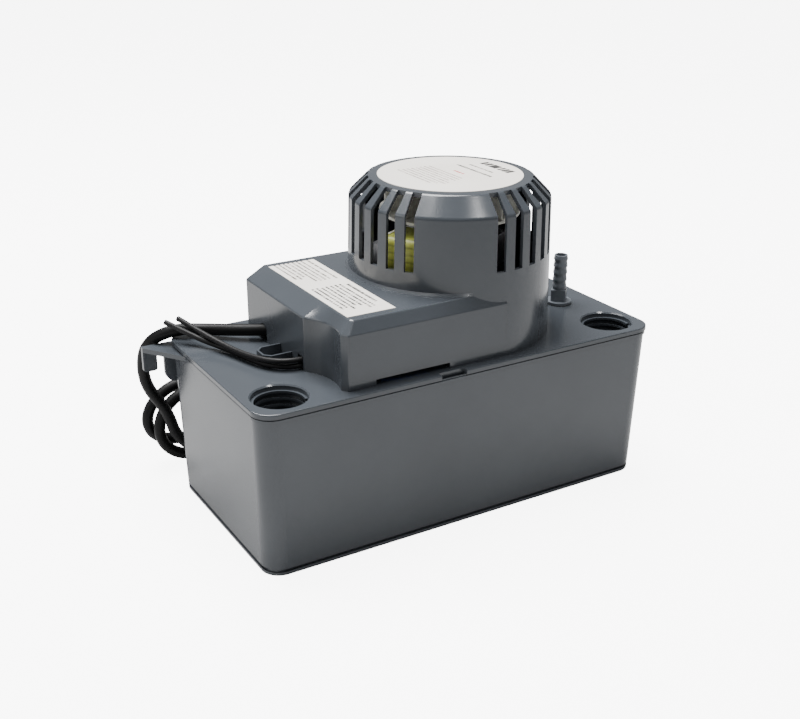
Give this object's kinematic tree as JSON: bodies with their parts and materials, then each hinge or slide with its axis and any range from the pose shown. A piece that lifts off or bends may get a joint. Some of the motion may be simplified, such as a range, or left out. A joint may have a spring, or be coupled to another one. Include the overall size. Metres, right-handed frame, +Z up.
{
  "type": "condensate pump",
  "caption": "Tank-type condensate pump with a domed motor cover, two drain inlets, a hose barb, a float switch and a mains cord.",
  "frame": {"origin": "centre of the tank's flat bottom", "axes": "+X along the tank's long side away from the cord, +Y to the wall side, +Z up"},
  "size_m": [0.322, 0.1809, 0.2035],
  "materials": {
    "housing_plastic": "satin",
    "label_film": "satin",
    "fitting_plastic": "satin",
    "pump_plastic": "satin",
    "float_foam": "matte",
    "fan_plastic": "satin",
    "bobbin_nylon": "satin",
    "coil_tape": "satin",
    "lamination_steel": "satin",
    "zinc_steel": "satin",
    "ground_steel": "polished",
    "rotor_aluminium": "satin",
    "bush_bronze": "satin",
    "copper_ring": "satin",
    "contact_brass": "satin",
    "switch_plastic": "satin",
    "plunger_plastic": "satin",
    "block_nylon": "satin",
    "seal_rubber": "matte",
    "hose_rubber": "matte",
    "cord_rubber": "satin",
    "tie_plastic": "satin",
    "lead_sleeve": "satin",
    "wire_blue_pvc": "gloss",
    "wire_black_pvc": "gloss",
    "ball_plastic": "gloss"
  },
  "bodies": {
    "housing": {"tank": "housing_plastic", "deck_lid": "housing_plastic", "motor_cover": "housing_plastic", "data_label": "label_film", "top_label": "label_film", "stator_core": "lamination_steel", "coil_bobbin": "bobbin_nylon", "coil_winding": "coil_tape", "shading_rings": "copper_ring", "lower_bearing_bracket": "zinc_steel", "upper_bearing_bracket": "zinc_steel", "lower_bearing": "bush_bronze", "upper_bearing": "bush_bronze", "motor_screws": "zinc_steel", "motor_mount": "pump_plastic", "pump_column": "pump_plastic", "volute_housing": "pump_plastic", "volute_cover": "pump_plastic", "volute_screws": "zinc_steel", "discharge_tube": "hose_rubber", "check_valve_body": "fitting_plastic", "valve_seat": "fitting_plastic", "valve_gasket": "seal_rubber", "float_bracket": "pump_plastic", "float_pivot_pin": "ground_steel", "switch_bracket": "zinc_steel", "switch_screws": "zinc_steel", "switch_spacers": "bobbin_nylon", "pump_switch": "switch_plastic", "safety_switch": "switch_plastic", "cover_screws": "zinc_steel", "mount_screws": "zinc_steel", "bracket_screws": "zinc_steel", "clamp_screws": "zinc_steel", "terminal_block": "block_nylon", "cord_clamp": "pump_plastic", "wire_blue": "wire_blue_pvc", "wire_black": "wire_black_pvc", "power_cord": "cord_rubber", "power_cord_hank": "cord_rubber", "power_cord_tail": "cord_rubber", "cord_tie": "tie_plastic", "switch_lead_upper": "lead_sleeve", "switch_lead_lower": "lead_sleeve", "power_plug": "cord_rubber", "plug_blades": "contact_brass"},
    "rotor": {"motor_shaft": "ground_steel", "rotor_core": "lamination_steel", "rotor_end_rings": "rotor_aluminium", "cooling_fan": "fan_plastic", "shaft_slinger": "seal_rubber", "impeller": "pump_plastic"},
    "float_assembly": {"float": "float_foam", "float_arm": "pump_plastic"},
    "push_rod": {"switch_rod": "bobbin_nylon"},
    "pump_lever": {"pump_switch_lever": "zinc_steel"},
    "pump_plunger": {"pump_switch_plunger": "plunger_plastic"},
    "safety_lever": {"safety_switch_lever": "zinc_steel"},
    "safety_plunger": {"safety_switch_plunger": "plunger_plastic"},
    "valve_ball": {"check_ball": "ball_plastic"}
  },
  "joints": [
    {"name": "rotor_spin", "type": "hinge", "parent": "housing", "child": "rotor", "pos_m": [0.026, 0.0006, 0.1], "axis": [0, 0, 1], "continuous": true},
    {"name": "float_swing", "type": "hinge", "parent": "housing", "child": "float_assembly", "pos_m": [-0.028, 0, 0.09], "axis": [0, 1, 0], "range_deg": [0, 18]},
    {"name": "rod_lift", "type": "slide", "parent": "housing", "child": "push_rod", "axis": [0, 0, 1], "range_m": [0, 0.00325]},
    {"name": "pump_lever_turn", "type": "hinge", "parent": "housing", "child": "pump_lever", "pos_m": [-0.054, 0.00785, 0.124], "axis": [0, -1, 0], "range_deg": [0, 11.7]},
    {"name": "pump_plunger_press", "type": "slide", "parent": "housing", "child": "pump_plunger", "axis": [0, 0, 1], "range_m": [0, 0.00102]},
    {"name": "safety_lever_turn", "type": "hinge", "parent": "housing", "child": "safety_lever", "pos_m": [-0.054, -0.00785, 0.124], "axis": [0, -1, 0], "range_deg": [0, 11.7]},
    {"name": "safety_plunger_press", "type": "slide", "parent": "housing", "child": "safety_plunger", "axis": [0, 0, 1], "range_m": [0, 0.00102]},
    {"name": "ball_lift", "type": "slide", "parent": "housing", "child": "valve_ball", "axis": [0, 0, 1], "range_m": [0, 0.003]}
  ],
  "couplings": [
    {"joint": "rod_lift", "follows": "float_swing", "m_per_rad": 0.01034},
    {"joint": "pump_lever_turn", "follows": "float_swing", "ratio": 0.64625},
    {"joint": "pump_plunger_press", "follows": "float_swing", "m_per_rad": 0.003231},
    {"joint": "safety_lever_turn", "follows": "float_swing", "ratio": 0.64625},
    {"joint": "safety_plunger_press", "follows": "float_swing", "m_per_rad": 0.003231}
  ]
}
